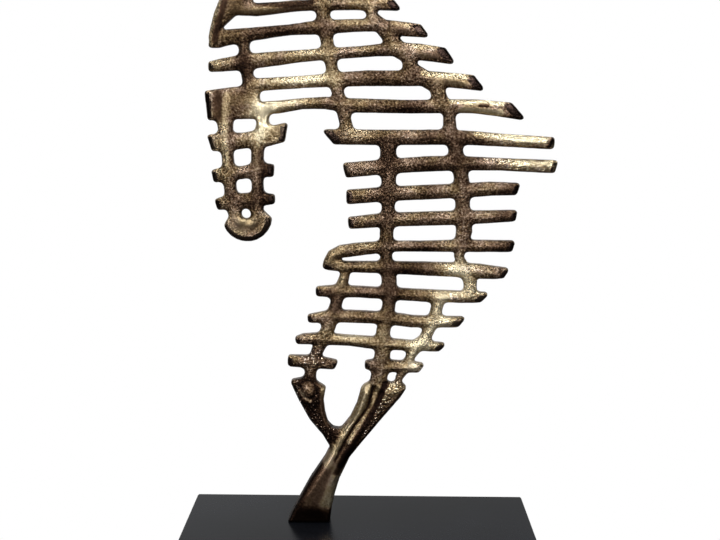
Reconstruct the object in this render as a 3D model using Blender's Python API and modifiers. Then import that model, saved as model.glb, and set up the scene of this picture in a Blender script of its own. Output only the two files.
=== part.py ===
"""Horse head and neck cast in one piece as an open lattice of ribs, on a forked stem and a flat base.

All sizes are in millimetres. X runs to the right, Y away from the viewer and Z up. The origin is
the middle of the underside of the base. Heights of the figure are measured from the top of the base.
"""
import math

import bmesh
import bpy
import numpy as np
from mathutils import Vector
from mathutils.geometry import delaunay_2d_cdt

MM = 0.001

# Base plate
BASE_LENGTH = 300
BASE_DEPTH = 110
BASE_THICKNESS = 15
BASE_EDGE = 1.2
FOOT_GAP = 0.3

# Height of the ears over the base. The drawing below was made at the second value.
FIGURE_HEIGHT = 518
DRAWN_HEIGHT = 518
FIGURE_SHIFT = -1.3

# Section of the casting
LATTICE_DEPTH = 9
FOOT_DEPTH = 15
STEM_TOP = 135
FRONT_SLOPE = 2.2
FRONT_FALL = 2.0
BACK_SLOPE = 1.2
BACK_FALL = 1.0
END_FACET = 4.6
LONG_FACET = 6.8
LONG_LEAN = 36
RIDGE = 1.3
RIDGE_CLEARANCE = 1.1
WINDOW_RADIUS = 3.4
TIP_RADIUS = 2.0
FOOT_RADIUS = 0.5

# Ribs, from left to right: points of the middle line with the width there.
RIBS = {
    "crown_rib_3": [(-72.5, 481, 9.5), (-53, 486.5, 9), (-36, 486.5, 9)],
    "crown_rib_2": [(-84, 466.5, 10.5), (-59, 471.5, 8.5), (-33, 473, 9.5), (-11, 470.5, 8)],
    "crown_rib_1": [(-97, 449, 11), (-47.5, 454.5, 9), (-11.5, 455.5, 9.5), (12, 451.5, 8.5)],
    "rib_1": [(-102, 435.5, 14.5), (-82.5, 432.7, 10.5), (-50, 435.8, 8.7), (13.5, 437, 8.5),
              (31.5, 436.5, 9)],
    "rib_2": [(-120, 406.5, 9.5), (-109, 410.5, 13), (-93.5, 412.5, 11), (-55.5, 417, 8.5),
              (-33, 419, 11), (12, 421, 10), (31, 418.5, 11.5), (53.7, 416.4, 10)],
    "rib_3": [(-122, 387.5, 8), (-111, 389, 10.5), (-91.5, 391.5, 12.5), (-47.5, 396.5, 10),
              (1, 400, 9), (26.5, 402, 11), (49, 400, 13), (74.2, 396.8, 12)],
    "rib_4": [(-90, 373, 10.5), (-44.5, 376, 10), (5, 379, 12.5), (65.5, 378.5, 12), (98.5, 375.4, 12)],
    "rib_5": [(-79, 355, 10.5), (-66, 355.7, 10.6), (-46, 358.5, 9), (-27.5, 359.3, 10), (-11, 357.5, 11.5),
              (41.5, 356.5, 11), (94.5, 357, 11.5), (131, 352.8, 13)],
    "rib_6": [(-26, 332, 12.5), (24, 331.6, 12.5), (83, 332, 12), (115.5, 330, 10.5), (160, 327.6, 10)],
    "rib_7": [(-12, 304.5, 12.5), (24, 308, 12), (70, 310.8, 12.5), (116, 310.3, 10.2), (162.5, 308.5, 10.8)],
    "rib_8": [(-10, 282.5, 12), (24.5, 285.5, 12), (83.5, 288.5, 11.5), (108.5, 290.2, 11.5), (132, 290, 10)],
    "rib_9": [(-8.5, 261, 10), (24.5, 264, 11.5), (84, 266, 11.5), (131, 268, 9.5)],
    "rib_10": [(-27.5, 222, 6), (-25, 228.5, 8), (-22, 233.7, 9.2), (-14.5, 237, 10.7), (-2.5, 238.8, 10.7),
               (25, 241.7, 9.5), (51.5, 242, 8.5), (80.5, 242.5, 10), (129.5, 242.5, 9.5)],
    "rib_11": [(-26, 226.5, 10.5), (-11, 224.5, 9), (25, 224, 10.5), (77, 222.5, 12), (102, 221, 12.5),
               (124.5, 219.5, 9)],
    "rib_12": [(-35.5, 203, 8), (-19.5, 203.5, 10.5), (1.5, 203, 9.5), (60.5, 200, 10.5), (107.3, 198.7, 9)],
    "rib_13": [(-42.5, 179.5, 7), (-23.5, 182, 10), (25.5, 180.5, 10.5), (45.5, 178, 10), (88.5, 177.7, 9)],
    "rib_14": [(-53, 160.5, 6), (-46.5, 162, 8.5), (-32, 162.5, 10), (-6.5, 161, 9), (14.5, 159, 10.5),
               (36, 157.5, 9), (73, 155.7, 7.5)],
    "left_prong_rib": [(-59.5, 143, 9.5), (-35.5, 142, 11), (-17.8, 139.5, 8)],
    "right_prong_rib": [(6, 140, 7), (15, 139.5, 10), (46, 138.2, 9.5), (55, 137.3, 8)],
    "cheek": [(-124.5, 356.5, 24), (-103, 358.5, 26), (-80.5, 360, 27.5)],
    "face_bar_1": [(-122.5, 326.5, 13.5), (-109.5, 327.5, 15), (-94.5, 328.5, 13), (-79, 330.5, 14),
                   (-59, 335.8, 15)],
    "face_bar_2": [(-120.5, 299, 10.5), (-110, 301, 12.5), (-95, 302.5, 10.5), (-82.5, 305, 12),
                   (-69.5, 304, 10.5)],
    "face_bar_3": [(-118, 275.5, 9.5), (-108, 278, 11.5), (-81.5, 280.5, 11.5), (-69, 280.5, 8)],
}

# Lean of the filed ends in degrees, left and right: positive where the lower corner stands out further.
END_LEAN = {
    "crown_rib_2": (0, 40), "crown_rib_1": (0, 42), "rib_1": (0, 42),
    "rib_2": (0, 43), "rib_3": (5, 43), "rib_4": (0, 45), "rib_5": (0, 50), "rib_6": (-42, 0),
    "rib_7": (-8, -12), "rib_8": (5, -15), "rib_9": (0, -12), "rib_10": (0, -15), "rib_11": (0, -28),
    "rib_12": (0, -43), "rib_13": (0, -38), "rib_14": (0, -43), "left_prong_rib": (0, -20),
    "right_prong_rib": (0, -35), "face_bar_1": (-12, -25),
}

# Posts that the ribs cross, from top to bottom, in the same way.
POSTS = {
    "front_ear": [(-69.5, 518, 2.2), (-65, 508.5, 9), (-58, 496.5, 12.5), (-51, 483.5, 12)],
    "back_ear": [(-44.5, 516.5, 2.2), (-42.5, 506.5, 8.5), (-39, 494.5, 12), (-35.5, 482, 11.5)],
    "forehead": [(-68, 482, 10.5), (-82, 469.5, 12), (-94.5, 456, 13), (-104, 442, 13.5),
                 (-111, 428.5, 11), (-115, 417, 9.5), (-117.3, 402.5, 8)],
    "temple": [(-85.5, 457.5, 11), (-92, 443.5, 16), (-101.5, 433, 11), (-112.5, 418.5, 3.5)],
    "eye_post": [(-93, 411, 8.5), (-92, 392, 9), (-89, 373, 10)],
    "front_spine": [(-40.5, 486, 9.5), (-36, 463, 9), (-30, 437, 11), (-27.5, 419, 11), (-24, 397.5, 9.5),
                    (-20, 378, 10), (-14, 357, 10), (-8.5, 334.5, 10.5)],
    "middle_spine": [(24, 332.5, 13), (24.5, 308.5, 13.5), (25, 280, 10.5), (23.5, 253, 11.5),
                     (23.5, 233, 10), (26, 214, 13), (26, 191, 11), (21.5, 169.5, 12), (21, 148, 13.5),
                     (17.3, 124, 14.5)],
    "mane_spine": [(-35.5, 486, 9), (-25, 474, 9), (-13, 462.5, 8), (2, 446, 9), (9.5, 434, 9.5), (10.5, 427.5, 9.5),
                   (17.5, 420.5, 12), (24.5, 414.5, 15), (27, 406.5, 14.5), (33, 401, 13.5),
                   (40.5, 396, 13.5), (41.5, 386.5, 13.5), (52, 380, 13), (63, 373, 13), (65.5, 363, 13),
                   (73.5, 351, 10), (74.5, 339.5, 10.5), (79.5, 321.5, 11.5), (85, 297, 12),
                   (86.5, 268, 12), (88, 255, 13.5), (84, 233.5, 8), (88.5, 224, 10), (94, 212, 11.5),
                   (94, 200.5, 10)],
    "mane_spine_lower": [(68.5, 198.5, 10), (63.5, 177.5, 9.5), (56, 162, 9.5), (49.5, 157, 10.5),
                         (45, 148, 8), (42, 139, 8.5), (35.2, 128.5, 6), (34.5, 118, 7)],
    "chest_post": [(-9.5, 228.5, 6.5), (-11.5, 215, 8.5), (-18, 193.5, 10), (-24.5, 172.5, 11.5),
                   (-34, 152.5, 10.5), (-40, 133.5, 10), (-41, 122, 11)],
    "front_face_post": [(-109.5, 355, 15.5), (-109, 340.5, 12.5), (-107.7, 320, 9.5), (-106.7, 300.5, 10),
                        (-104.7, 278, 10), (-100.5, 260, 11.5)],
    "back_face_post": [(-77.5, 355, 10.5), (-78.7, 341.5, 10), (-82.7, 323, 10.5), (-83.2, 292.5, 9.5),
                       (-82.7, 280, 10.5), (-87, 260, 11.5)],
}

# Stem: a left and a right edge for each prong, from the bottom up.
LEFT_PRONG = (
    [(-23, 67), (-29.7, 78.5), (-40.5, 91.5), (-49.5, 107.5), (-57.7, 126)],
    [(-6, 79), (-14.5, 83.5), (-21, 84.5), (-25.5, 89.5), (-28, 99), (-29, 108.5), (-27, 120), (-35.5, 125.5),
     (-46.5, 128.5)],
)
RIGHT_PRONG = (
    [(-60.2, 0), (-56, 9.5), (-49.3, 22.5), (-40, 39.5), (-28, 58), (-21.5, 71), (-14, 83.5), (-6.5, 93.5),
     (-0.5, 106), (3, 119.5)],
    [(-23.5, 0), (-21.5, 15.5), (-15, 40), (-6.5, 58.5), (3.5, 71.5), (20, 92), (36.7, 112), (42, 120.5),
     (37, 125), (22, 124.5), (12.5, 126), (5.5, 122.5)],
)

# Muzzle: the lower part of a disc, with one nostril through it.
MUZZLE_CENTRE = (-92.5, 266)
MUZZLE_RADIUS = 21
MUZZLE_ARC = (201, 356)
MUZZLE_TOP = [(-81.5, 274), (-102, 275)]
NOSTRIL_CENTRE = (-93, 268.5)
NOSTRIL_RADIUS = 4.2

# Ridges and hollows that run down the stem: points of the line with the height of the front there.
STEM_LINES = [
    [(7, 116, 2.5), (0, 97, 2.5), (-13, 75, 2), (-24, 55, 1.5), (-38, 30, 1)],
    [(15, 117, -1.5), (8, 100, -1.5), (-6, 79, -1), (-15, 64, 0)],
    [(24, 116, 2), (13, 97, 2.2), (-2, 75, 2.4), (-13, 55, 2.2), (-24, 32, 2), (-31, 12, 1)],
    [(-42, 119, 3.2), (-40, 109, 3), (-38, 101, 0.5)],
    [(-50, 117, 1), (-42, 99, 1.6), (-32, 84, 1.8), (-24, 72, 1.5)],
]

# Upright ridge and hollow at the front of the cheek, and the hollow of the muzzle under its nostril
HEAD_LINES = [
    [(-117.8, 346, 1.2), (-117, 367, 1.2)],
    [(-112.5, 346, -0.7), (-111.5, 368, -0.7)],
    [(-103, 263, -0.9), (-98, 256.5, -1.3), (-92, 254, -1.4), (-86, 256, -1.3), (-80.5, 262, -0.9)],
]

# How finely the curves are divided
CURVE_STEP = 15
SHORTEST_SIDE = 1.6
SMALLEST_HOLE = 4
FLATNESS = 0.22
CORNER_TURN = math.radians(24)
MITRE_LIMIT = 2.2

# Where the metal behind a side is measured, as shares of the side, and the most of it that a slope takes.
# A side counts as a cut end when it is at least the last share of that end.
NEAREST_WALL = 0.05
SIDE_PROBES = (0.15, 0.5, 0.85)
MOST_AT_SIDE = 0.34
CUT_PROBES = (0.5,)
MOST_AT_CUT = 0.92
LEAST_OF_CUT = 0.55

# Smaller tolerances of the drawing: points on the base or on a cut, the least angle that a corner is
# mitred at, how much of a side is kept when it is set in, and the share of a side that a corner arc takes
ON_BASE = 0.05
ON_CUT = 0.5
LEAST_MITRE = 0.15
KEPT_OF_SIDE = 0.15
EASING = 0.75
EASING_ROUNDS = 12
LEAST_RADIUS = 0.5
ARC_SHARE = 0.46


def smooth(points, step=CURVE_STEP):
    """Points at about the given step on a smooth curve through the given ones."""
    knots = [Vector(point) for point in points]
    reach = [0.0]
    for before, after in zip(knots, knots[1:]):
        reach.append(reach[-1] + (after.xy - before.xy).length)
    last = len(knots) - 1
    slopes = []
    for i in range(last + 1):
        low, high = max(i - 1, 0), min(i + 1, last)
        slopes.append((knots[high] - knots[low]) / (reach[high] - reach[low]))
    curve = [knots[0]]
    for i in range(last):
        span = reach[i + 1] - reach[i]
        pieces = max(1, round(span / step))
        for k in range(1, pieces + 1):
            t = k / pieces
            start = knots[i] * (2 * t**3 - 3 * t**2 + 1) + slopes[i] * (span * (t**3 - 2 * t**2 + t))
            end = knots[i + 1] * (3 * t**2 - 2 * t**3) + slopes[i + 1] * (span * (t**3 - t**2))
            curve.append(start + end)
    return curve


def bar(points, lean=(0, 0)):
    """Outline of a tapering bar round its middle line, and its two end cuts."""
    curve = smooth(points)
    left, right = [], []
    for i, point in enumerate(curve):
        along = (curve[min(i + 1, len(curve) - 1)] - curve[max(i - 1, 0)]).xy.normalized()
        across = Vector((-along.y, along.x)) * (point.z / 2)
        skew = Vector((0.0, 0.0))
        if i == 0:
            skew = -along * (math.tan(math.radians(lean[0])) * point.z / 2)
        if i == len(curve) - 1:
            skew = along * (math.tan(math.radians(lean[1])) * point.z / 2)
        left.append(point.xy + across - skew)
        right.append(point.xy - across + skew)
    return right + left[::-1], [(left[0], right[0]), (right[-1], left[-1])]


def band(left_edge, right_edge):
    """Outline between two smooth edges that both run upwards."""
    left = [Vector(point) for point in left_edge]
    right = [Vector(point) for point in right_edge]
    return [p.xy for p in smooth([(p.x, p.y, 0) for p in right])] + [
        p.xy for p in reversed(smooth([(p.x, p.y, 0) for p in left]))]


def circle(centre, radius, start=0.0, end=360.0, pieces=10):
    """Points on an arc; a full circle leaves out its last point."""
    count = pieces if end - start == 360 else pieces + 1
    angles = [math.radians(start + (end - start) * k / pieces) for k in range(count)]
    return [Vector((centre[0] + radius * math.cos(a), centre[1] + radius * math.sin(a))) for a in angles]


def figure_shapes():
    """Every outline that the casting is made of, the cut ends, the middle lines and the holes."""
    shapes, cuts, lines = [], [], []
    for name, points in {**RIBS, **POSTS}.items():
        leans = END_LEAN.get(name, (0, 0))
        outline, ends = bar(points, leans)
        shapes.append(outline)
        if name in RIBS:
            for end, lean in zip(ends, leans):
                cuts.append((*end, LONG_FACET if abs(lean) > LONG_LEAN else END_FACET))
        lines.append([(p.x, p.y, RIDGE) for p in smooth(points)])
    shapes.append(band(*LEFT_PRONG))
    shapes.append(band(*RIGHT_PRONG))
    arc = circle(MUZZLE_CENTRE, MUZZLE_RADIUS, *MUZZLE_ARC)
    shapes.append(arc + [Vector(point) for point in MUZZLE_TOP])
    cuts += [(start, end, END_FACET) for start, end in zip(arc, arc[1:])]
    for line in STEM_LINES + HEAD_LINES:
        lines.append([tuple(p) for p in smooth(line)])
    return shapes, cuts, lines, [circle(NOSTRIL_CENTRE, NOSTRIL_RADIUS)]


def united_loops(shapes, holes):
    """Border loops of all the shapes together without the holes, with the metal on their left."""
    places, faces = [], []
    for outline in shapes + holes:
        faces.append(list(range(len(places), len(places) + len(outline))))
        places += outline
    joined = delaunay_2d_cdt(places, [], faces, 1, 0.01)
    corners, triangles, owners = joined[0], joined[2], joined[5]
    first_hole = len(shapes)
    sides = set()
    for triangle, owner in zip(triangles, owners):
        if owner and max(owner) < first_hole:
            for k in range(3):
                sides.add((triangle[k], triangle[(k + 1) % 3]))
    follows = {a: b for a, b in sides if (b, a) not in sides}
    loops = []
    while follows:
        start = min(follows)
        loop, here = [], start
        while here in follows:
            loop.append(corners[here].copy())
            here = follows.pop(here)
        loops.append(loop)
    return loops


def area(loop):
    """Area inside a loop, negative where it runs clockwise."""
    return sum(loop[i - 1].cross(loop[i]) for i in range(len(loop))) / 2


def turn(before, here, after):
    """Angle that an outline turns at a point, positive to the left."""
    return (after - here).angle_signed(here - before)


def cleaned(loop):
    """The loop without very short sides and without points that lie on a straight stretch."""
    points = list(loop)
    while True:
        count = len(points)
        lengths = [(points[(i + 1) % count] - points[i]).length for i in range(count)]
        shortest = min(range(count), key=lengths.__getitem__)
        if lengths[shortest] > SHORTEST_SIDE:
            break
        after = (shortest + 1) % count
        points[shortest] = (points[shortest] + points[after]) / 2
        del points[after]
    while True:
        count = len(points)
        heights = []
        for i in range(count):
            before, here, after = points[i - 1], points[i], points[(i + 1) % count]
            chord = after - before
            heights.append(abs(chord.cross(here - before)) / chord.length)
        flattest = min(range(count), key=heights.__getitem__)
        if heights[flattest] > FLATNESS:
            return points
        del points[flattest]


def nearest_wall(place, direction, starts, ends):
    """Distance from a place to the first side that the direction meets."""
    along = ends - starts
    to_start = starts - place
    spread = direction[0] * along[:, 1] - direction[1] * along[:, 0]
    spread[np.abs(spread) < 1e-9] = 1e-9
    reach = (to_start[:, 0] * along[:, 1] - to_start[:, 1] * along[:, 0]) / spread
    share = (to_start[:, 0] * direction[1] - to_start[:, 1] * direction[0]) / spread
    hit = reach[(reach > NEAREST_WALL) & (share >= 0) & (share <= 1)]
    return float(hit.min()) if len(hit) else 1000.0


def side_slopes(loops, cuts, usual):
    """How far the face is set in behind each side: more at a cut end, less where the metal is thin."""
    starts = np.array([tuple(p) for loop in loops for p in loop])
    ends = np.array([tuple(p) for loop in loops for p in loop[1:] + loop[:1]])
    result = []
    for loop in loops:
        widths = []
        for here, after in zip(loop, loop[1:] + loop[:1]):
            width, probes, most = usual, SIDE_PROBES, MOST_AT_SIDE
            for start, end, facet in cuts:
                if (after - here).length > LEAST_OF_CUT * (end - start).length:
                    if lies_on((here + after) / 2, start, end):
                        width, probes, most = facet, CUT_PROBES, MOST_AT_CUT
            if here.y < ON_BASE and after.y < ON_BASE:
                width = 0.0
            inward = Vector((here.y - after.y, after.x - here.x)).normalized()
            for share in probes:
                place = np.array(tuple(here.lerp(after, share)))
                metal = nearest_wall(place, tuple(inward), starts, ends)
                width = min(width, most * metal)
            widths.append(width)
        result.append(widths)
    return result


def lies_on(point, start, end):
    """Whether a point lies on a cut end."""
    along = end - start
    share = (point - start).dot(along) / along.length_squared
    return 0 <= share <= 1 and (start + along * share - point).length < ON_CUT


def set_in(loop, widths):
    """The loop with every side moved into the metal by its own width."""
    count = len(loop)
    shifts = []
    for i in range(count):
        before, here, after = loop[i - 1], loop[i], loop[(i + 1) % count]
        first = Vector((before.y - here.y, here.x - before.x)).normalized()
        second = Vector((here.y - after.y, after.x - here.x)).normalized()
        low, high = widths[i - 1], widths[i]
        cross = first.cross(second)
        if abs(cross) < LEAST_MITRE:
            shifts.append((first + second).normalized() * ((low + high) / 2))
        else:
            shift = Vector((low * second.y - high * first.y, high * first.x - low * second.x)) / cross
            furthest = MITRE_LIMIT * max(low, high)
            if shift.length > furthest:
                shift *= furthest / shift.length
            shifts.append(shift)
    for _ in range(EASING_ROUNDS):
        crossed = False
        for i in range(count):
            after = (i + 1) % count
            side = loop[after] - loop[i]
            inner = side + shifts[after] - shifts[i]
            if inner.dot(side) < KEPT_OF_SIDE * side.length_squared:
                shifts[i] = shifts[i] * EASING
                shifts[after] = shifts[after] * EASING
                crossed = True
        if not crossed:
            break
    return [point + shift for point, shift in zip(loop, shifts)]


def rounded(loop, turns, slopes):
    """The loop with an arc of three points at every corner and one point at every smooth bend."""
    result = []
    count = len(loop)
    for i, here in enumerate(loop):
        before, after = loop[i - 1], loop[(i + 1) % count]
        angle = turns[i]
        if abs(angle) < CORNER_TURN:
            result.append(here)
            continue
        depth = slopes[i]
        radius = max(TIP_RADIUS - depth, LEAST_RADIUS) if angle > 0 else WINDOW_RADIUS + depth
        if here.y < ON_BASE:
            radius = FOOT_RADIUS
        room = ARC_SHARE * min((before - here).length, (after - here).length)
        trim = min(radius * math.tan(abs(angle) / 2), room)
        start = here + (before - here).normalized() * trim
        end = here + (after - here).normalized() * trim
        weight = math.cos(angle / 2)
        result += [start, (start + end + here * (2 * weight)) / (2 + 2 * weight), end]
    return result


def inside(place, loops):
    """Whether a place is in the metal between the loops."""
    crossings = 0
    for loop in loops:
        for here, after in zip(loop, loop[1:] + loop[:1]):
            if (here.y > place.y) != (after.y > place.y):
                if place.x < here.x + (after.x - here.x) * (place.y - here.y) / (after.y - here.y):
                    crossings += 1
    return crossings % 2 == 1


def clear_of(place, loops, distance):
    """Whether a place keeps a distance from every loop."""
    starts = np.array([tuple(p) for loop in loops for p in loop])
    ends = np.array([tuple(p) for loop in loops for p in loop[1:] + loop[:1]])
    along = ends - starts
    offset = np.array(tuple(place)) - starts
    share = np.clip((offset * along).sum(1) / (along**2).sum(1), 0, 1)
    return float(np.min(np.linalg.norm(offset - along * share[:, None], axis=1))) > distance


def ridge_lines(lines, loops):
    """The stretches of the middle lines that lie well inside the front face."""
    places, heights, edges = [], [], []
    for line in lines:
        previous = None
        for x, z, height in line:
            here = Vector((x, z))
            if not (inside(here, loops) and clear_of(here, loops, RIDGE_CLEARANCE)):
                previous = None
                continue
            places.append(here)
            heights.append(height)
            if previous is not None:
                count = max(2, round((here - previous).length / RIDGE_CLEARANCE))
                steps = [previous.lerp(here, k / count) for k in range(1, count)]
                if all(clear_of(step, loops, RIDGE_CLEARANCE) for step in steps):
                    edges.append((len(places) - 2, len(places) - 1))
            previous = here
    return places, heights, edges


def depth_at(height):
    """Depth of the casting, front to back: the stem gets deeper towards its foot."""
    share = min(max(1 - height / STEM_TOP, 0.0), 1.0)
    return LATTICE_DEPTH + (FOOT_DEPTH - LATTICE_DEPTH) * share


def face_between(mesh, loops, rings, lines=((), (), ()), level=None):
    """Fill the area between the loops, with the given lines raised on it."""
    places, faces, corner = [], [], []
    for loop, ring in zip(loops, rings):
        border = list(range(len(places), len(places) + len(loop)))
        faces.append(border if area(loop) > 0 else border[::-1])
        places += loop
        corner += ring
    first_line = len(places)
    edges = [(first_line + a, first_line + b) for a, b in lines[2]]
    places += lines[0]
    filled = delaunay_2d_cdt(places, edges, faces, 1, 0.001)
    outer = max(range(len(loops)), key=lambda k: area(loops[k]))
    spots = []
    for place, sources in zip(filled[0], filled[3]):
        on_border = [k for k in sources if k < first_line]
        if on_border:
            spots.append(corner[on_border[0]])
            continue
        height = lines[1][sources[0] - first_line] if sources else RIDGE
        spots.append(mesh.verts.new((place.x, level(place.y) - height, place.y)))
    for triangle, owner in zip(filled[2], filled[5]):
        if list(owner) == [outer]:
            mesh.faces.new([spots[k] for k in triangle])


def casting_mesh():
    """The whole casting as one closed mesh, in millimetres, front towards -Y."""
    shapes, cuts, lines, holes = figure_shapes()
    loops = [cleaned(loop) for loop in united_loops(shapes, holes) if abs(area(loop)) > SMALLEST_HOLE]
    turns = [[turn(loop[i - 1], loop[i], loop[(i + 1) % len(loop)]) for i in range(len(loop))]
             for loop in loops]
    front = side_slopes(loops, cuts, FRONT_SLOPE)
    back = side_slopes(loops, [], BACK_SLOPE)
    outlines, front_faces, back_faces = [], [], []
    for loop, bends, front_widths, back_widths in zip(loops, turns, front, back):
        zero = [0.0] * len(loop)
        at_front = [(front_widths[i - 1] + front_widths[i]) / 2 for i in range(len(loop))]
        at_back = [(back_widths[i - 1] + back_widths[i]) / 2 for i in range(len(loop))]
        outlines.append(rounded(loop, bends, zero))
        front_faces.append(rounded(set_in(loop, front_widths), bends, at_front))
        back_faces.append(rounded(set_in(loop, back_widths), bends, at_back))
    mesh = bmesh.new()
    levels = [
        (front_faces, lambda z: -depth_at(z) / 2),
        (outlines, lambda z: -depth_at(z) / 2 + FRONT_FALL),
        (outlines, lambda z: depth_at(z) / 2 - BACK_FALL),
        (back_faces, lambda z: depth_at(z) / 2),
    ]
    rings = []
    for level_loops, level in levels:
        rings.append([[mesh.verts.new((p.x, level(p.y), p.y)) for p in loop] for loop in level_loops])
    for near, far in zip(rings, rings[1:]):
        for near_ring, far_ring in zip(near, far):
            count = len(near_ring)
            for i in range(count):
                after = (i + 1) % count
                mesh.faces.new((near_ring[i], near_ring[after], far_ring[after], far_ring[i]))
    raised = ridge_lines(lines, front_faces)
    face_between(mesh, front_faces, rings[0], raised, levels[0][1])
    face_between(mesh, back_faces, rings[3])
    bmesh.ops.triangulate(mesh, faces=mesh.faces, quad_method="SHORT_EDGE")
    bmesh.ops.recalc_face_normals(mesh, faces=mesh.faces)
    return mesh


def material(name, colour, metallic, roughness):
    """A Principled material."""
    result = bpy.data.materials.new(name)
    result.use_nodes = True
    shader = result.node_tree.nodes["Principled BSDF"]
    shader.inputs["Base Color"].default_value = (*colour, 1)
    shader.inputs["Metallic"].default_value = metallic
    shader.inputs["Roughness"].default_value = roughness
    return result


def add_object(name, mesh, collection, finish):
    """An object in the collection from a finished bmesh."""
    data = bpy.data.meshes.new(name)
    mesh.to_mesh(data)
    mesh.free()
    data.materials.append(finish)
    result = bpy.data.objects.new(name, data)
    collection.objects.link(result)
    return result


def add_casting(collection, finish):
    """The lattice figure with its stem, standing on the base."""
    mesh = casting_mesh()
    scale = FIGURE_HEIGHT / DRAWN_HEIGHT
    bmesh.ops.scale(mesh, vec=(scale * MM, MM, scale * MM), verts=mesh.verts)
    casting = add_object("horse_casting", mesh, collection, finish)
    casting.location = (FIGURE_SHIFT * MM, 0, (BASE_THICKNESS + FOOT_GAP) * MM)
    return casting


def add_base(collection, finish):
    """The flat base with slightly eased edges."""
    mesh = bmesh.new()
    bmesh.ops.create_cube(mesh, size=1)
    bmesh.ops.scale(mesh, vec=(BASE_LENGTH * MM, BASE_DEPTH * MM, BASE_THICKNESS * MM), verts=mesh.verts)
    base = add_object("base_plate", mesh, collection, finish)
    base.location = (0, 0, BASE_THICKNESS / 2 * MM)
    eased = base.modifiers.new("eased_edges", "BEVEL")
    eased.width = BASE_EDGE * MM
    eased.segments = 1
    return base


def main():
    for item in list(bpy.data.objects):
        bpy.data.objects.remove(item)
    collection = bpy.data.collections.new("horse_sculpture")
    bpy.context.scene.collection.children.link(collection)
    add_casting(collection, material("cast_metal", (0.42, 0.33, 0.19), 1.0, 0.42))
    add_base(collection, material("black_base", (0.03, 0.03, 0.035), 0.0, 0.45))


main()
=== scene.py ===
"""Looks of a horse's head cast as an open lattice of ribs, on a flat black base.

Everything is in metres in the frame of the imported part: X to the right, Y away from the viewer, Z up,
with the origin under the middle of the base. Only the drawing of the figure is in millimetres: there x runs
to the right and z up from the underside of the foot.
"""
import math

import bmesh
import bpy
import numpy as np
from mathutils import Matrix, Vector
from mathutils.bvhtree import BVHTree


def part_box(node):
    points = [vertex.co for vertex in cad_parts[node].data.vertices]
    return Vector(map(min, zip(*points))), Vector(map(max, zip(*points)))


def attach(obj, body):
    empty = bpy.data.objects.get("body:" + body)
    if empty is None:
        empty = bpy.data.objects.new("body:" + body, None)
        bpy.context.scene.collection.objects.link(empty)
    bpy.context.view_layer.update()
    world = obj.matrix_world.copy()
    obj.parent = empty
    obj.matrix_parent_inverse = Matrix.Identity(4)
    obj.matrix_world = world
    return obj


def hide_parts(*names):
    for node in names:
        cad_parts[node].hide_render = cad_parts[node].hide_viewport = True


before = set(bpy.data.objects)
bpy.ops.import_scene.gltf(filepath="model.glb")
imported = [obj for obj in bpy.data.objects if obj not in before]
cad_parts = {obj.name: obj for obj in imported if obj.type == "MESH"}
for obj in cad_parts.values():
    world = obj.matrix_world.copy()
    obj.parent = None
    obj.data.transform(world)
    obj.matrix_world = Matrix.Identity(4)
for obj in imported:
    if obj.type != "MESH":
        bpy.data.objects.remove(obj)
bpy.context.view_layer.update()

MM = 0.001

# Camera: a 50 mm lens on a 36 mm wide sensor, a little over the figure's middle and tipped down to it
CAMERA_PLACE = Vector((0.0098, -0.8239, 0.381))
CAMERA_TIP = math.atan(0.175)
CAMERA_TURN = 0.0115
CAMERA_ROLL = math.radians(0.27)
LENS_MM = 50
SENSOR_MM = 36

# Soft lights, all aimed at the figure: place, width and height of the face, power in watts
LIGHTS_AIM = (0, 0, 0.35)
LIGHTS = {
    "key": ((0.75, -1.15, 1.15), 0.35, 0.35, 9),
    "fill": ((-0.85, -1.0, 0.95), 0.3, 0.4, 6),
    "front": ((0.05, -1.35, 0.80), 0.3, 0.25, 3),
    "low_left": ((-0.7, -1.1, 0.15), 0.3, 0.25, 3),
    "low_right": ((0.75, -1.1, 0.25), 0.3, 0.25, 3),
    "top": ((-0.1, -0.1, 1.4), 0.9, 0.4, 10),
}

# Surroundings: their light behind the figure and in front of it, its share on the left and on the right,
# and the directions between which the one passes into the other
LIGHT_BEHIND = 0.70
LIGHT_IN_FRONT = 0.045
SHARE_LEFT = 1.14
SHARE_RIGHT = 0.80
FRONT_TO_BACK = (-0.05, 0.45)
LEFT_TO_RIGHT = (-0.25, 0.25)

# Floor, a hair under the base so that the two don't lie in one plane
FLOOR_SIZE = 6
FLOOR_DROP = 0.3 * MM
FLOOR_GREY = 0.18

# Casting: the gap that is closed in the solid, the cells of the mesh, how far they are pulled to the solid,
# and the softening of every edge
CLOSED_GAP = 0.01 * MM
CELL = 1.3 * MM
EDGE_PULL = 0.9
SOFTENING = 0.25

# Rounds of smoothing, each one a share of the way to the neighbours' mean
ROUND_SHARE = 0.5
SLEEK_ROUNDS = 10
END_ROUNDS = 6

# Worn rib ends: how many cells the wear spreads from a filed face, and the share that counts as fully worn
END_SPREAD = 3
FULLY_WORN = 0.25

# Filed faces: how squarely they face the front, and the depths that they run between
FILED_FACE = 0.88
EDGE_BACK = -2.5 * MM
EDGE_FRONT = -4.5 * MM
FACE_SLACK = 0.1 * MM

# The stem is the part below this height over the foot
STEM_HEIGHT = 139 * MM

# Wear by handling: cells over which the broad form is taken, how far over it a place stands for the wear to
# rise by one, the wear of a flat place, the most there is, and how much it blends with its neighbours'
WEAR_STEPS = 10
WEAR_REACH = 0.30 * MM
WEAR_ON_FLAT = 0.5
MOST_WEAR = 1.6
WEAR_BLUR = 0.4

# Cast skin: sizes of the bumps and how far they stand out
LUMP_SIZE = 7.5 * MM
LUMP_HEIGHT = 0.30 * MM
GRAIN_SIZE = 2.6 * MM
GRAIN_HEIGHT = 0.16 * MM
SKIN_SEED = 4
GRAIN_SHIFT = 7

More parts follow.
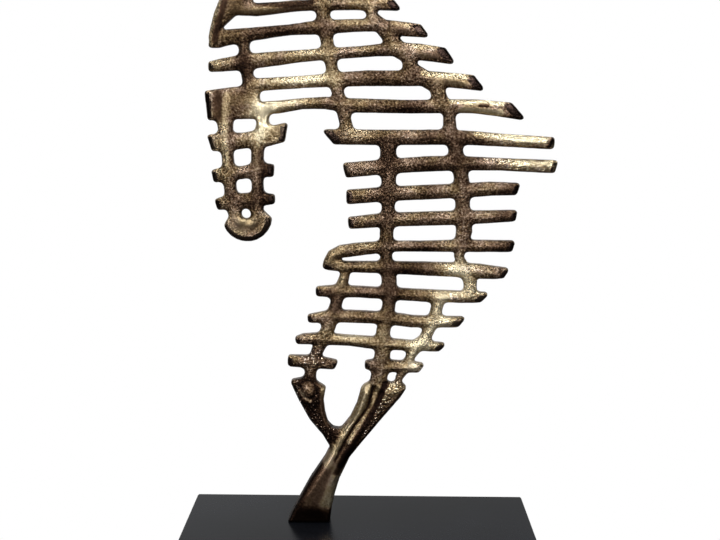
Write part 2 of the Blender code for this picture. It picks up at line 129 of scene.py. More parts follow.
# Cast skin: how much of it goes where the metal is filed or sleek, and how far over the foot it is whole
FILED_LESS = 0.85
SLEEK_LESS = 0.8
FOOT_CLEARANCE = 1.5 * MM

# How far the origin of the figure's drawing lies to the left of the middle of the base
DRAWING_LEFT = 1.3 * MM

# Boss on the left prong, in the drawing: middle, radius, height of its dome, depth of the ditch round it
BOSS_MIDDLE = (-41.5, 118.5)
BOSS_RADIUS = 6.6
BOSS_DOME = 0.5
BOSS_DITCH = 1.3

# Middle and half width of the ditch, in radii of the boss
DITCH_MIDDLE = 1.15
DITCH_HALF = 0.17

# Lines below that stand out from the front, or are sunk into it where the height is negative
RELIEF = {"between_ridges": -0.8, "groove": -0.9, "left_ridge": 0.2, "right_ridge": 0.7}

# How squarely a surface faces the front where the relief begins, and where it is full
RELIEF_FROM = 0.3
RELIEF_FULL = 0.8

# Painted light from above: how much brighter the metal is painted where it faces up, and painted shade where
# it faces down
PAINTED_SKY_LIGHT = 0.32

# Painted light and sleekness: how crisp the sides of a line are, the most that the painted light and shade
# may change, and the least sleekness
LINE_CRISPNESS = 5
PAINTED_LIGHT_LIMIT = 1.3
LEAST_SLEEK = -0.5

# Share of the painted light and sleekness that reaches the sides of the casting, and its back
SIDE_SHARE = 0.6
BACK_SHARE = 0.25

# Bronze: its colours from the darkest hollow and painted shade to the brightest wear and painted highlight
BRONZE_TONES = [
    (0.0, (0.010, 0.006, 0.004)),
    (0.18, (0.045, 0.027, 0.014)),
    (0.42, (0.17, 0.118, 0.068)),
    (0.68, (0.41, 0.330, 0.215)),
    (1.0, (0.92, 0.85, 0.67)),
]

# Bronze: brightness between its first colour and its last, and the two tints laid over them
DARK_TO_BRIGHT = (-0.68, 1.12)
GOLDEN_TINT = (1.0, 0.95, 0.84)
ROSY_TINT = (1.0, 0.92, 1.04)
GOLDEN_TO_ROSY = (-0.15, 0.15)

# Filed ends: how surely a place is filed, and their painted colours: a near-black painted dark reflection
# where the painted light is dark, brown in a middling place and a painted highlight in a bright one, and the
# levels of painted light between which these pass into each other
BARE_TO_FILED = (0.3, 0.7)
FILED_PAINTED_DARK = (0.008, 0.005, 0.004)
FILED_PAINTED_BROWN = (0.024, 0.015, 0.012)
FILED_PAINTED_HIGHLIGHT = (0.26, 0.20, 0.13)
BLACK_TO_BROWN = (-1.0, -0.2)
BROWN_TO_BRIGHT = (-0.1, 1.1)

# Bronze: sizes of the patterns in its colour and its skin
CLOUD_SIZE = 13 * MM
TINT_SIZE = 9 * MM
BLOTCH_SIZE = 4 * MM
SPECK_SIZE = 0.9 * MM
PITS_PER_METRE = 560
CRISP = 0.6

# Bronze: the noise that counts as bright flecks, which are painted glints, and the sleekness that brings them
# out
PAINTED_GLINT_RANGE = (0.10, 0.24)
CALM_TO_SPARKLING = (-0.05, -0.3)

# Bronze: how much each thing brightens it, the painted light and shade among them, how much of two patterns
# goes where it is sleek, and how far blotches and the painted light turn its tint
WEAR_BRIGHTENS = 0.10
PAINTED_LIGHT_BRIGHTENS = 0.6
CLOUDS_BRIGHTEN = 0.8
BLOTCHES_BRIGHTEN = 0.35
SPECKS_BRIGHTEN = 1.6
PAINTED_GLINTS_BRIGHTEN = 1.6
CLOUDS_LESS = 0.4
SPECKLE_LESS = 0.8
TINT_SHIFT = 0.3

# Bronze: its roughness, and how much each thing takes from it or adds to it
BRONZE_ROUGHNESS = 0.31
WEAR_POLISHES = 0.07
FILE_POLISHES = 0.06
SLEEK_DULLS = 0.11
SPECKS_DULL = 0.10

# Bronze: heights of the patterns in the fine skin, its depth, and how much of it goes where filed or sleek
SPECK_RISE = 2.4
BLOTCH_RISE = 0.6
SKIN_DEPTH = 0.50 * MM
FINE_FILED_LESS = 0.8
FINE_SLEEK_LESS = 0.97

# Lacquer: its darkest and lightest colour, the tint and the strength of its gloss
LACQUER_DARK = (0.003, 0.0035, 0.0045)
LACQUER_LIGHT = (0.007, 0.008, 0.011)
GLOSS_TINT = (0.88, 0.93, 1.0)
GLOSS_LEVEL = 0.125
LACQUER_ROUGHNESS = 0.25

# Lacquer: sizes of its patterns, the range of noise between its colours, and the change of its roughness
SHEEN_SIZE = 60 * MM
RIPPLE_SIZE = 5 * MM
DUST_SIZE = 0.9 * MM
DUST_LIGHTENS = 0.5
DARK_TO_LIGHT = (-0.2, 0.25)
ROUGHNESS_SWING = 0.10

# Lacquer: the fine ripple of its skin
DUST_RISE = 0.35
RIPPLE_STRENGTH = 0.25
RIPPLE_DEPTH = 0.08 * MM

# Patches of painted highlight and painted shade in the drawing: middle (x, z), half widths (x, z), how much
# brighter the painted light is (under zero, painted shade), and how sleek, where a number under zero is
# sparkling
PATCHES = {
    "crown": ((-99, 436), (14, 9), -0.15, 0.7),
    "crown_low": ((-68, 431), (14, 6), 0.2, 0.3),
    "crest_middle": ((4, 432), (12, 12), 0.55, 0.4),
    "crest_tips": ((33, 429), (14, 11), -0.9, 0.2),
    "rib_two": ((-68, 417), (26, 6), -0.5, 0.2),
    "rib_three": ((-42, 400), (20, 9), 0.55, 0.1),
    "post_top": ((-92.5, 386), (6.5, 18), -1.1, 0.2),
    "brow_left": ((-117, 388), (9, 8), 0.4, 0.0),
    "eye_rib": ((-47, 379), (26, 8), 1.1, 0.25),
    "jaw": ((-76, 350), (13, 15), 1.15, 0.97),
    "jaw_arch": ((-62, 360), (22, 7), 0.55, 0.6),
    "jaw_post": ((-80, 331), (6, 9), 0.8, 0.2),
    "cheek_middle": ((-97, 361), (10, 10), -0.1, 0.4),
    "muzzle_front": ((-115, 325), (7, 25), 0.4, 0.0),
    "muzzle_side": ((-78, 318), (7, 8), -0.25, 0.0),
    "muzzle_low": ((-93, 284), (16, 8), -0.35, 0.0),
    "chin": ((-95, 259), (17, 10), 0.4, 0.98),
    "neck_top": ((14, 385), (25, 12), -0.4, 0.0),
    "neck_rib_two": ((42, 355), (14, 7), -1.0, 0.0),
    "neck_front_top": ((2, 334), (14, 8), 0.3, 0.0),
    "neck_front_high": ((-18, 306), (12, 8), 0.3, 0.1),
    "post_high": ((28, 315), (12, 14), -0.6, 0.0),
    "neck_inner": ((54, 302), (12, 20), -0.45, 0.0),
    "neck_back_high": ((88, 322), (20, 20), -0.4, 0.0),
    "long_rib_high": ((134, 331), (24, 7), 0.5, -0.3),
    "long_rib_low": ((142, 310), (24, 8), 0.5, -0.3),
    "long_ends": ((160, 319), (5, 16), 0.9, 0.2),
    "end_b": ((71, 401), (6, 7), -1.2, 0.0),
    "end_c": ((97, 375), (6, 7), -1.1, 0.0),
    "end_d": ((128, 350), (8, 8), -1.0, 0.0),
    "tip_low_one": ((127, 289), (13, 8), -0.6, 0.2),
    "tip_low_two": ((124, 267), (13, 8), -0.4, 0.2),
    "tip_low_three": ((122, 242), (12, 7), -0.7, 0.2),
    "front_post": ((20, 270), (9, 40), -0.25, 0.0),
    "low_post": ((23, 200), (9, 25), -0.15, 0.4),
    "rib_ten_right": ((54, 240), (13, 8), -0.7, 0.1),
    "neck_rib_low": ((42, 222), (20, 8), -0.6, 0.1),
    "neck_rib_lower": ((36, 205), (18, 6), -0.4, 0.1),
    "low_front": ((4, 200), (14, 22), -0.35, 0.2),
    "low_middle": ((14, 167), (30, 12), 0.45, 0.2),
    "left_post": ((-20, 190), (10, 20), -0.25, 0.6),
    "throat_low": ((-17, 213), (12, 8), 0.45, 0.4),
    "shoulder": ((84, 222), (12, 14), 1.1, 0.25),
    "shoulder_tail": ((96, 207), (14, 8), 0.8, 0.1),
    "shoulder_low": ((72, 190), (12, 15), 1.1, 0.15),
    "chest_tip": ((66, 171), (9, 8), 0.9, 0.15),
    "chest": ((52, 158), (11, 14), 1.0, 0.25),
    "prong_tip": ((47, 140), (7, 8), 0.8, 0.3),
    "low_rib": ((-11, 167), (16, 6), 0.5, 0.2),
    "prong_rib_end": ((-20, 141), (8, 7), -0.4, 0.0),
    "breast": ((-24, 232), (12, 8), 0.1, 0.7),
    "left_low": ((-38, 150), (14, 14), -0.35, -0.3),
}

# Lines of painted highlight and painted shade in the drawing: points (x, z), half width, how much brighter
# the painted light is (under zero, painted shade), and how sleek. Here and above, the letters count the rib
# ends of the mane from the top down
LINES = {
    "brow_edge": ([(-112, 438), (-117, 425), (-120, 413), (-120, 404)], 2.6, 0.3, 0.0),
    "brow_dark": ([(-107, 439), (-110, 429), (-114, 417), (-116, 407.5)], 2.6, -0.7, 0.8),
    "rib_one_top": ([(-81, 437.5), (-59, 436), (-38, 438.5)], 2.4, -0.8, 0.3),
    "rib_one_low": ([(-99, 430), (-79, 431), (-59, 432), (-38, 433)], 2.2, 0.1, 0.8),
    "cheek_smooth": ([(-114, 366), (-114.5, 347)], 3.6, -0.5, 0.9),
    "cheek_ridge": ([(-107, 365), (-108.4, 345), (-108.8, 309)], 3.2, 0.45, 0.1),
    "back_column": ([(-74.5, 309), (-76.3, 292), (-75, 276)], 5.5, -0.6, 0.0),
    "left_ridge": ([(7, 121), (4, 104), (-7, 85.5), (-18.5, 67.5), (-25.5, 53)], 4.2, 0.55, 0.6),
    "right_ridge": ([(18, 121), (12.5, 104), (0.5, 85.5), (-7, 73)], 2.4, 0.45, 0.5),
    "between_ridges": ([(13, 121), (9.5, 104), (-4, 85.5), (-13, 67.5), (-19, 56.5)], 1.1, -1.0, 0.5),
    "groove": ([(23.5, 124), (17.5, 109), (5.5, 86), (-6, 67.5), (-12, 56.5), (-17.5, 45.5)], 2.8, -1.1, 0.7),
    "blot": ([(-9, 63), (-14, 54)], 4.2, -0.8, 0.8),
    "sparkling": ([(30, 122), (22, 109), (13, 96), (3, 82)], 5.0, 0.0, -0.7),
    "right_edge": ([(40, 116), (31, 104), (19, 89), (5, 72), (-5, 61)], 3.6, -0.7, 0.6),
    "left_prong": ([(-45, 118), (-38, 101), (-31, 87), (-28, 80)], 13.0, -1.2, -0.2),
    "left_prong_inside": ([(-29, 118), (-31, 101), (-25, 88)], 2.6, 0.7, 0.9),
    "boss": ([(-42, 121), (-42, 118)], 5.5, 1.0, 0.3),
    "boss_rim": ([(-49, 118), (-45, 112), (-40, 109.5)], 1.5, 1.6, 0.6),
    "shank": ([(-22, 54), (-31, 36), (-39, 20)], 13.0, -0.1, 0.85),
    "shank_left": ([(-34, 52), (-46, 30), (-55, 10)], 5.0, -1.0, -0.4),
    "shank_right": ([(-12, 54), (-18, 38), (-26, 16)], 7.0, 0.75, 0.5),
    "foot": ([(-60, 5), (-20, 5)], 9.0, -1.2, 0.85),
    "tip_a": ([(28, 423), (39, 420.5)], 2.6, 0.7, 0.0),
    "under_a": ([(30, 418), (38, 416.5)], 2.6, 0.2, 0.8),
    "tip_b": ([(44, 405), (61, 403)], 2.6, 0.5, 0.0),
    "under_b": ([(47, 399), (61, 397)], 2.6, 0.1, 0.8),
    "tip_c": ([(52, 383), (86, 381)], 2.8, 0.8, 0.0),
    "under_c": ([(63, 377), (86, 375)], 2.8, 0.3, 0.8),
    "tip_d": ([(75, 362), (115, 360)], 3.0, 1.1, 0.0),
    "under_d": ([(84, 354), (114, 352)], 3.4, 0.8, 0.85),
    "blot_d": ([(98, 358), (104, 358)], 1.6, -1.2, 0.0),
    "tip_e": ([(96, 335), (151, 330)], 2.6, 0.7, 0.0),
    "under_e": ([(105, 329), (153, 326)], 2.4, 0.1, 0.2),
    "tip_f": ([(104, 314), (158, 311)], 2.6, 0.35, -0.1),
    "under_f": ([(110, 308), (156, 306)], 2.4, 0.1, 0.0),
    "edge_e": ([(159, 334), (154.5, 325)], 1.4, -1.5, 0.0),
    "edge_f": ([(160.5, 316), (157.5, 306)], 1.2, -0.8, 0.0),
}


def soft_box(name, place, width, height, power):
    """A studio light with a soft rectangular face that looks at the figure."""
    data = bpy.data.lights.new(name, "AREA")
    data.shape = "RECTANGLE"
    data.size = width
    data.size_y = height
    data.energy = power
    light = bpy.data.objects.new(name, data)
    bpy.context.scene.collection.objects.link(light)
    light.location = place
    light.rotation_euler = (Vector(LIGHTS_AIM) - Vector(place)).to_track_quat("-Z", "Y").to_euler()


class Number:
    """A socket in arithmetic: an expression on numbers adds its Math nodes."""

    def __init__(self, tree, socket):
        self.tree = tree
        self.socket = socket

    def _with(self, operation, first, second):
        node = self.tree.node("ShaderNodeMath", {"operation": operation}, {0: first, 1: second})
        return Number(self.tree, node.outputs[0])

    def __add__(self, other):
        return self._with("ADD", self, other)

    def __radd__(self, other):
        return self._with("ADD", other, self)

    def __sub__(self, other):
        return self._with("SUBTRACT", self, other)

    def __rsub__(self, other):
        return self._with("SUBTRACT", other, self)

    def __mul__(self, other):
        return self._with("MULTIPLY", self, other)

    def __rmul__(self, other):
        return self._with("MULTIPLY", other, self)

    def __truediv__(self, other):
        return self._with("DIVIDE", self, other)

    def __rtruediv__(self, other):
        return self._with("DIVIDE", other, self)


class Tree:
    """A tree of nodes that is built one call at a time."""

    def __init__(self, tree):
        self.tree = tree

    def node(self, kind, settings=None, inputs=None):
        """Add a node of this type: first its settings, then the values or links of its sockets."""
        made = self.tree.nodes.new(kind)
        for key, value in (settings or {}).items():
            if key == "stops":
                self._stops(made.color_ramp, value)
            else:
                setattr(made, key, value)
        for key, value in (inputs or {}).items():
            if isinstance(value, Number):
                value = value.socket
            if isinstance(value, bpy.types.NodeSocket):
                self.tree.links.new(value, made.inputs[key])
            elif made.inputs[key].type == "RGBA":
                made.inputs[key].default_value = (*value[:3], 1)
            else:
                made.inputs[key].default_value = value
        return made

    def _stops(self, ramp, stops):
        while len(ramp.elements) < len(stops):
            ramp.elements.new(1.0)
        for element, (position, colour) in zip(ramp.elements, stops):
            element.position = position
            element.color = (*colour, 1)

    def number(self, kind, settings=None, inputs=None, output=0):
        """One output of a new node, ready for arithmetic."""
        return Number(self, self.node(kind, settings, inputs).outputs[output])

    def between(self, value, low, high, bottom=0.0, top=1.0):
        """The value as a share of the way from low to high, eased at both ends."""
        return self.number("ShaderNodeMapRange", {"interpolation_type": "SMOOTHSTEP"},
                           {"Value": value, "From Min": low, "From Max": high,
                            "To Min": bottom, "To Max": top})

    def blend(self, share, first, second, way="MIX"):
        """A colour made of two: sockets 6 and 7 of the node take colours, and its output 2 gives one."""
        mixed = self.node("ShaderNodeMix", {"data_type": "RGBA", "blend_type": way},
                          {0: share, 6: first, 7: second})
        return mixed.outputs[2]


def new_finish(name):
    """A material with an empty tree, and that tree."""
    finish = bpy.data.materials.new(name)
    finish.use_nodes = True
    finish.node_tree.nodes.clear()
    return finish, Tree(finish.node_tree)


def noise(tree, place, size, detail=3, roughness=0.5):
    """Noise round zero, half a unit up and down, with features of about the given size in metres."""
    found = tree.number("ShaderNodeTexNoise", {"noise_dimensions": "3D"},
                        {"Vector": place, "Scale": 0.5 / size, "Detail": detail, "Roughness": roughness})
    return found - 0.5


def carried(tree, name):
    """A number that each vertex of the casting carries."""
    return tree.number("ShaderNodeAttribute", {"attribute_name": name}, output="Fac")


def cast_bronze():
    """Sand-cast metal: nearly black in the hollows, warm and worn bright on what stands out, with painted
    highlights and painted shade laid over it.
    """
    finish, tree = new_finish("cast_bronze")
    place = tree.node("ShaderNodeTexCoord").outputs["Object"]
    # Painted highlights and painted shade from the patches and lines, with painted light from above
    tone = carried(tree, "tone")
    sleek = carried(tree, "sleek")
    filed = tree.between(carried(tree, "filed"), *BARE_TO_FILED)
    clouds = noise(tree, place, CLOUD_SIZE, detail=2)
    blotches = noise(tree, place, BLOTCH_SIZE, roughness=CRISP)
    specks = noise(tree, place, SPECK_SIZE, detail=2, roughness=CRISP)
    # Bright flecks in the colour are painted glints where the metal is sparkling
    painted_glints = tree.between(noise(tree, place, SPECK_SIZE, detail=1), *PAINTED_GLINT_RANGE)
    painted_glints *= tree.between(sleek, *CALM_TO_SPARKLING)

    speckle = blotches * BLOTCHES_BRIGHTEN + specks * SPECKS_BRIGHTEN + painted_glints * PAINTED_GLINTS_BRIGHTEN
    # Brightness from real wear, the painted highlights and painted shade, random clouds and speckle
    bright = ((carried(tree, "wear") - WEAR_ON_FLAT) * WEAR_BRIGHTENS + tone * PAINTED_LIGHT_BRIGHTENS
              + clouds * (CLOUDS_BRIGHTEN - sleek * CLOUDS_LESS) + speckle * (1 - sleek * SPECKLE_LESS))
    shine = tree.between(bright, *DARK_TO_BRIGHT)
    bare = tree.node("ShaderNodeValToRGB", {"stops": BRONZE_TONES}, {0: shine}).outputs[0]
    hue = noise(tree, place, TINT_SIZE, detail=2) + blotches * TINT_SHIFT - tone * TINT_SHIFT
    tint = tree.blend(tree.between(hue, *GOLDEN_TO_ROSY), GOLDEN_TINT, ROSY_TINT)
    tinted = tree.blend(1.0, bare, tint, "MULTIPLY")
    # Filed ends painted near-black as a dark reflection, turning to a painted highlight where the painted
    # light is bright
    painted_dark_end = tree.blend(tree.between(tone, *BLACK_TO_BROWN), FILED_PAINTED_DARK, FILED_PAINTED_BROWN)
    end = tree.blend(tree.between(tone, *BROWN_TO_BRIGHT), painted_dark_end, FILED_PAINTED_HIGHLIGHT)

    roughness = (BRONZE_ROUGHNESS - shine * WEAR_POLISHES - filed * FILE_POLISHES + sleek * SLEEK_DULLS
                 + specks * SPECKS_DULL)
    pits = tree.number("ShaderNodeTexVoronoi", {"feature": "F1"}, {"Vector": place, "Scale": PITS_PER_METRE})
    calm = tree.number("ShaderNodeClamp", {}, {"Value": sleek})
    skin = specks * SPECK_RISE - pits + blotches * BLOTCH_RISE
    height = skin * (1 - filed * FINE_FILED_LESS) * (1 - calm * FINE_SLEEK_LESS)
    bump = tree.node("ShaderNodeBump", {}, {"Strength": 1.0, "Distance": SKIN_DEPTH, "Height": height})
    shader = tree.node("ShaderNodeBsdfPrincipled", {}, {
        "Base Color": tree.blend(filed, tinted, end), "Metallic": 1.0, "Roughness": roughness,
        "Normal": bump.outputs[0]})
    tree.node("ShaderNodeOutputMaterial", {}, {"Surface": shader.outputs[0]})
    return finish


def black_lacquer():
    """Satin black lacquer with fine dust in its surface."""
    finish, tree = new_finish("black_lacquer")
    place = tree.node("ShaderNodeTexCoord").outputs["Object"]
    ripple = noise(tree, place, RIPPLE_SIZE)
    dust = noise(tree, place, DUST_SIZE, detail=2, roughness=CRISP)
    sheen = noise(tree, place, SHEEN_SIZE)
    light = tree.between(sheen + dust * DUST_LIGHTENS, *DARK_TO_LIGHT)
    roughness = LACQUER_ROUGHNESS + sheen * ROUGHNESS_SWING + dust * ROUGHNESS_SWING
    bump = tree.node("ShaderNodeBump", {}, {
        "Strength": RIPPLE_STRENGTH, "Distance": RIPPLE_DEPTH, "Height": ripple + dust * DUST_RISE})
    shader = tree.node("ShaderNodeBsdfPrincipled", {}, {
        "Base Color": tree.blend(light, LACQUER_DARK, LACQUER_LIGHT), "Roughness": roughness,
        "Specular IOR Level": GLOSS_LEVEL, "Specular Tint": GLOSS_TINT, "Normal": bump.outputs[0]})
    tree.node("ShaderNodeOutputMaterial", {}, {"Surface": shader.outputs[0]})
    return finish


class Neighbours:
    """The vertices next to each vertex of a mesh."""

    def __init__(self, edges, vertices):
        self.edges = edges
        self.counts = np.bincount(edges.ravel(), minlength=vertices).astype(float)

    def mean(self, values, rounds=1):
        """For each vertex the mean of a value over its neighbours, taken as often as rounds says."""
        for _ in range(rounds):
            total = np.zeros_like(values)
            np.add.at(total, self.edges[:, 0], values[self.edges[:, 1]])
            np.add.at(total, self.edges[:, 1], values[self.edges[:, 0]])
            values = total / self.counts.reshape(-1, *([1] * (values.ndim - 1)))
        return values

    def soften(self, values, share, rounds=1):
        """Bring each value a share of the way to its neighbours' mean, as often as rounds says."""
        for _ in range(rounds):
            values = values + (self.mean(values) - values) * share
        return values


def read_mesh(mesh):
    """Vertex places, vertex normals and edges of a mesh as arrays."""
    places = np.zeros(len(mesh.vertices) * 3, np.float32)
    mesh.vertices.foreach_get("co", places)
    normals = np.zeros(len(mesh.vertices) * 3, np.float32)
    mesh.vertex_normals.foreach_get("vector", normals)
    edges = np.zeros(len(mesh.edges) * 2, np.int32)
    mesh.edges.foreach_get("vertices", edges)
    return places.reshape(-1, 3).astype(float), normals.reshape(-1, 3).astype(float), edges.reshape(-1, 2)


def write_places(mesh, places):
    """Move the vertices of a mesh to these places."""
    mesh.vertices.foreach_set("co", places.astype(np.float32).ravel())
    mesh.update()


def add_share(mesh, name, values):
    """Keep one number for each vertex as an attribute that a finish can read."""
    attribute = mesh.attributes.new(name, "FLOAT", "POINT")
    attribute.data.foreach_set("value", values.astype(np.float32))


def evaluated_mesh(item):
    """A plain mesh of the object as its modifiers leave it; the modifiers are then removed."""
    bpy.context.view_layer.update()
    evaluated = item.evaluated_get(bpy.context.evaluated_depsgraph_get())
    result = bpy.data.meshes.new_from_object(evaluated)
    item.modifiers.clear()
    return result


def solid_copy(node):
    """A closed copy of a CAD node's mesh, with its loose triangles merged."""
    shell = bmesh.new()
    shell.from_mesh(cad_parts[node].data)
    bmesh.ops.remove_doubles(shell, verts=shell.verts, dist=CLOSED_GAP)
    return shell


def filed_faces(shell, stem_top):
    """Numbers of the faces that a file left at the rib ends: they lean back less than the other edges."""
    found = set()
    for face in shell.faces:
        depths = [vert.co.y for vert in face.verts]
        reaches_back = abs(max(depths) - EDGE_BACK) < FACE_SLACK
        reaches_front = abs(min(depths) - EDGE_FRONT) < FACE_SLACK
        is_end = face.normal.y < -FILED_FACE and face.calc_center_median().z > stem_top
        if reaches_back and reaches_front and is_end:
            found.add(face.index)
    return found


def cast_skin_tree(metal):
    """A Geometry Nodes tree that roughens a surface along its normals, but not where it is filed."""
    group = bpy.data.node_groups.new("cast_skin", "GeometryNodeTree")
    group.interface.new_socket("Geometry", in_out="INPUT", socket_type="NodeSocketGeometry")
    for name in ("Lump Size", "Lump Height", "Grain Size", "Grain Height", "Seed"):
        group.interface.new_socket(name, in_out="INPUT", socket_type="NodeSocketFloat")
    group.interface.new_socket("Geometry", in_out="OUTPUT", socket_type="NodeSocketGeometry")
    tree = Tree(group)
    given = tree.node("NodeGroupInput").outputs

    def swell(name, shift):
        """Bumps up and down with the size and the height that the sockets of this name give."""
        found = tree.number("ShaderNodeTexNoise", {"noise_dimensions": "4D"}, {
            "Scale": 0.5 / Number(tree, given[f"{name} Size"]), "Detail": 2.0,
            "W": Number(tree, given["Seed"]) + shift})
        return (found - 0.5) * Number(tree, given[f"{name} Height"]) * 2

    lumps = swell("Lump", 0)
    grains = swell("Grain", GRAIN_SHIFT)
    rough = tree.number("GeometryNodeInputNamedAttribute", {"data_type": "FLOAT"}, {"Name": "rough"})
    normal = tree.node("GeometryNodeInputNormal").outputs[0]
    push = tree.node("ShaderNodeVectorMath", {"operation": "SCALE"},
                     {0: normal, "Scale": (lumps + grains) * rough})
    moved = tree.node("GeometryNodeSetPosition", {}, {"Geometry": given["Geometry"],
                                                      "Offset": push.outputs[0]})
    real = tree.node("GeometryNodeRealizeInstances", {}, {"Geometry": moved.outputs[0]})
    coated = tree.node("GeometryNodeSetMaterial", {}, {"Geometry": real.outputs[0], "Material": metal})
    tree.node("NodeGroupOutput", {}, {0: coated.outputs[0]})
    return group


def set_input(modifier, name, value):
    """Set a Geometry Nodes modifier's input by its socket's identifier."""
    for item in modifier.node_group.interface.items_tree:
        if item.item_type == "SOCKET" and item.in_out == "INPUT" and item.name == name:
            modifier[item.identifier] = value


def line_distance(spots, points):
    """How far each spot lies from a line through the points."""
    nearest = np.full(len(spots), np.inf)
    for start, end in zip(points, points[1:]):
        along = np.subtract(end, start)
        share = np.clip((spots - start) @ along / (along @ along), 0, 1)
        nearest = np.minimum(nearest, np.linalg.norm(spots - start - share[:, None] * along, axis=1))
    return nearest


def drawn(places):
    """Where each place lies in the figure's drawing: millimetres to the right, and up from the foot."""
    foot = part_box("horse_casting")[0].z
    return (places[:, [0, 2]] - (-DRAWING_LEFT, foot)) / MM


def cast_relief(places, normals):
    """How far the front stands out over the solid at each vertex: the boss, and the lines of the stem."""
    spots = drawn(places)
    away = np.linalg.norm(spots - BOSS_MIDDLE, axis=1) / BOSS_RADIUS
    ditch = BOSS_DITCH * np.exp(-((away - DITCH_MIDDLE) / DITCH_HALF)**2)
    height = BOSS_DOME * np.clip(1 - away**2, 0, 1) - ditch
    for name, rise in RELIEF.items():
        points, half, _, _ = LINES[name]
        height += rise * np.exp(-(line_distance(spots, points) / half)**2)
    facing = (-normals[:, 1] - RELIEF_FROM) / (RELIEF_FULL - RELIEF_FROM)
    return height * MM * np.clip(facing, 0, 1)


def painted_light_and_sleek(places, normals):
    """The painted light and shade, and the sleekness, of the metal at each vertex."""
    spots = drawn(places)
    tone = np.zeros(len(places))
    rest = np.ones(len(places))
    for middle, half, brighter, sleeker in PATCHES.values():
        share = np.exp(-(((spots - middle) / half)**2).sum(1))
        tone += brighter * share
        rest *= 1 - sleeker * share
    for points, half, brighter, sleeker in LINES.values():
        share = np.exp(-(line_distance(spots, points) / half)**LINE_CRISPNESS)
        tone += brighter * share
        rest *= 1 - sleeker * share
    front = np.clip(SIDE_SHARE - normals[:, 1], BACK_SHARE, 1)
    # Painted light from above: lighter where the metal faces up, painted shade where it faces down
    tone = np.clip(tone + normals[:, 2] * PAINTED_SKY_LIGHT, -PAINTED_LIGHT_LIMIT, PAINTED_LIGHT_LIMIT) * front
    return tone, np.clip(1 - rest, LEAST_SLEEK, 1) * front


def even_copy(shell):
    """An object with the shell's form, meshed in cells of one size."""
    form = bpy.data.meshes.new("horse_casting_form")
    shell.to_mesh(form)
    item = bpy.data.objects.new("horse_lattice", form)
    bpy.context.scene.collection.objects.link(item)
    even = item.modifiers.new("even_cells", "REMESH")
    even.mode = "VOXEL"
    even.voxel_size = CELL
    item.data = evaluated_mesh(item)
    return item


def pull_to_solid(places, shell, stem_top):
    """The places brought to the solid's own surface, and a 1 for each that lies on a filed face."""
    filed = filed_faces(shell, stem_top)
    surface = BVHTree.FromBMesh(shell)
    pulled = places.copy()
    is_filed = np.zeros(len(places))
    for i, place in enumerate(places):
        spot, _, number, _ = surface.find_nearest(Vector(place))
        is_filed[i] = number in filed
        pulled[i] += (np.array(spot) - place) * EDGE_PULL
    return pulled, is_filed


def smoothed_form(mesh, places, is_filed, near, stem_top):
    """The places with soft edges and worn rib ends, evened out above the stem where the metal is sleek."""
    places = near.soften(places, SOFTENING)
    worn = np.clip(near.mean(is_filed, END_SPREAD) / FULLY_WORN, 0, 1)
    places = near.soften(places, ROUND_SHARE * worn[:, None], END_ROUNDS)
    write_places(mesh, places)
    _, normals, _ = read_mesh(mesh)
    _, sleek = painted_light_and_sleek(places, normals)
    sleek = np.clip(sleek, 0, 1) * (1 - np.clip(is_filed, 0, 1)) * (places[:, 2] > stem_top)
    places = near.soften(places, ROUND_SHARE * sleek[:, None], SLEEK_ROUNDS)
    return places + normals * cast_relief(places, normals)[:, None]


def carry_finish(mesh, places, is_filed, near, foot):
    """Let each vertex carry what the skin and the bronze read: wear, filed, painted light and shade, sleek
    and rough.
    """
    _, normals, _ = read_mesh(mesh)
    stands_out = ((places - near.mean(places, WEAR_STEPS)) * normals).sum(1)
    wear = np.clip(WEAR_ON_FLAT + stands_out / WEAR_REACH, 0, MOST_WEAR)
    tone, sleek = painted_light_and_sleek(places, normals)
    filed = np.clip(is_filed, 0, 1)
    over_foot = np.clip((places[:, 2] - foot) / FOOT_CLEARANCE, 0, 1)
    rough = (1 - FILED_LESS * filed) * (1 - SLEEK_LESS * np.clip(sleek, 0, 1)) * over_foot
    add_share(mesh, "wear", near.soften(wear, WEAR_BLUR))
    add_share(mesh, "filed", filed)
    add_share(mesh, "tone", tone)
    add_share(mesh, "sleek", sleek)
    add_share(mesh, "rough", rough)


def casting():
    """The whole cast figure: an evenly meshed copy of the solid with a rough cast skin."""
    low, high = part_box("horse_casting")
    stem_top = low.z + STEM_HEIGHT
    shell = solid_copy("horse_casting")
    item = even_copy(shell)
    places, _, edges = read_mesh(item.data)
    near = Neighbours(edges, len(places))
    places, is_filed = pull_to_solid(places, shell, stem_top)
    is_filed = near.soften(is_filed, SOFTENING)
    places = smoothed_form(item.data, places, is_filed, near, stem_top)
    write_places(item.data, places)
    carry_finish(item.data, places, is_filed, near, low.z)

    skin = item.modifiers.new("cast_skin", "NODES")
    skin.node_group = cast_skin_tree(cast_bronze())
    for name, value in (("Lump Size", LUMP_SIZE), ("Lump Height", LUMP_HEIGHT), ("Grain Size", GRAIN_SIZE),
                        ("Grain Height", GRAIN_HEIGHT), ("Seed", SKIN_SEED)):
        set_input(skin, name, value)
    item.data = evaluated_mesh(item)
    places, _, _ = read_mesh(item.data)
    write_places(item.data, np.clip(places, np.array(low), np.array(high)))
    item.data.shade_smooth()
    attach(item, "root")
    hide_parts("horse_casting")


def base():
    """The flat base keeps its solid and gets its lacquer."""
    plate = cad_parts["base_plate"]
    plate.data.materials.clear()
    plate.data.materials.append(black_lacquer())


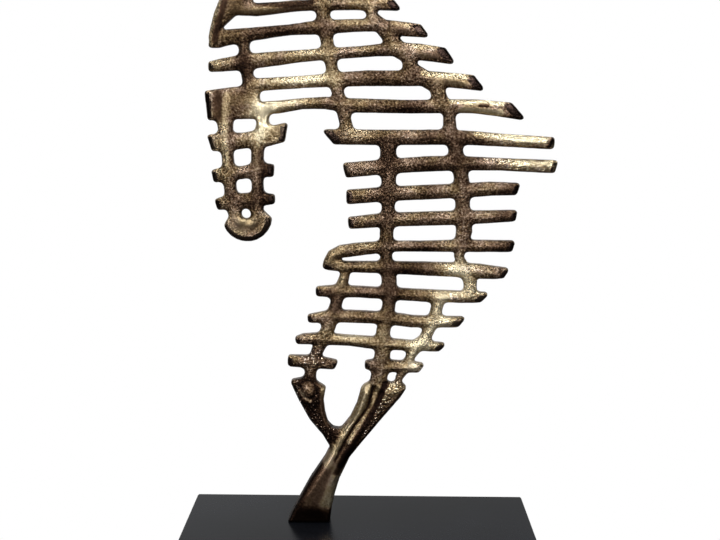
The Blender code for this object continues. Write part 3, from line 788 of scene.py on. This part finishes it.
def floor():
    """A pale floor under the base, white where the camera sees it."""
    bpy.ops.mesh.primitive_plane_add(size=FLOOR_SIZE, location=(0, 0, -FLOOR_DROP))
    ground = bpy.context.object
    ground.name = "floor"
    finish, tree = new_finish("pale_floor")
    rays = tree.node("ShaderNodeLightPath").outputs["Is Camera Ray"]
    paint = tree.node("ShaderNodeBsdfDiffuse", {}, {"Color": (FLOOR_GREY, FLOOR_GREY, FLOOR_GREY)})
    glow = tree.node("ShaderNodeEmission", {}, {"Color": (1, 1, 1), "Strength": 1.0})
    shown = tree.node("ShaderNodeMixShader", {}, {0: rays, 1: paint.outputs[0], 2: glow.outputs[0]})
    tree.node("ShaderNodeOutputMaterial", {}, {"Surface": shown.outputs[0]})
    ground.data.materials.append(finish)


def studio():
    """White surroundings behind the figure, dimmer ones in front, and soft lights."""
    world = bpy.data.worlds.new("studio")
    bpy.context.scene.world = world
    world.use_nodes = True
    world.node_tree.nodes.clear()
    tree = Tree(world.node_tree)
    direction = tree.node("ShaderNodeTexCoord").outputs["Generated"]
    to_right, away, _ = tree.node("ShaderNodeSeparateXYZ", {}, {0: direction}).outputs
    light = tree.between(away, *FRONT_TO_BACK, LIGHT_IN_FRONT, LIGHT_BEHIND)
    light *= tree.between(to_right, *LEFT_TO_RIGHT, SHARE_LEFT, SHARE_RIGHT)
    seen = tree.number("ShaderNodeLightPath", output="Is Camera Ray")
    glow = tree.node("ShaderNodeBackground", {}, {"Color": (1, 1, 1), "Strength": light * (1 - seen) + seen})
    tree.node("ShaderNodeOutputWorld", {}, {"Surface": glow.outputs[0]})
    for name, (place, width, height, power) in LIGHTS.items():
        soft_box(name, place, width, height, power)


def camera():
    """A camera at the photograph's angle."""
    data = bpy.data.cameras.new("camera")
    data.lens = LENS_MM
    data.sensor_width = SENSOR_MM
    item = bpy.data.objects.new("camera", data)
    bpy.context.scene.collection.objects.link(item)
    turned = (Matrix.Rotation(CAMERA_TURN, 4, "Z") @ Matrix.Rotation(math.pi / 2 - CAMERA_TIP, 4, "X")
              @ Matrix.Rotation(CAMERA_ROLL, 4, "Z"))
    item.matrix_world = Matrix.Translation(CAMERA_PLACE) @ turned
    bpy.context.scene.camera = item


def main():
    """The figure on its base, in its studio."""
    camera()
    studio()
    floor()
    base()
    casting()
    bpy.context.scene.view_settings.view_transform = "Standard"


main()
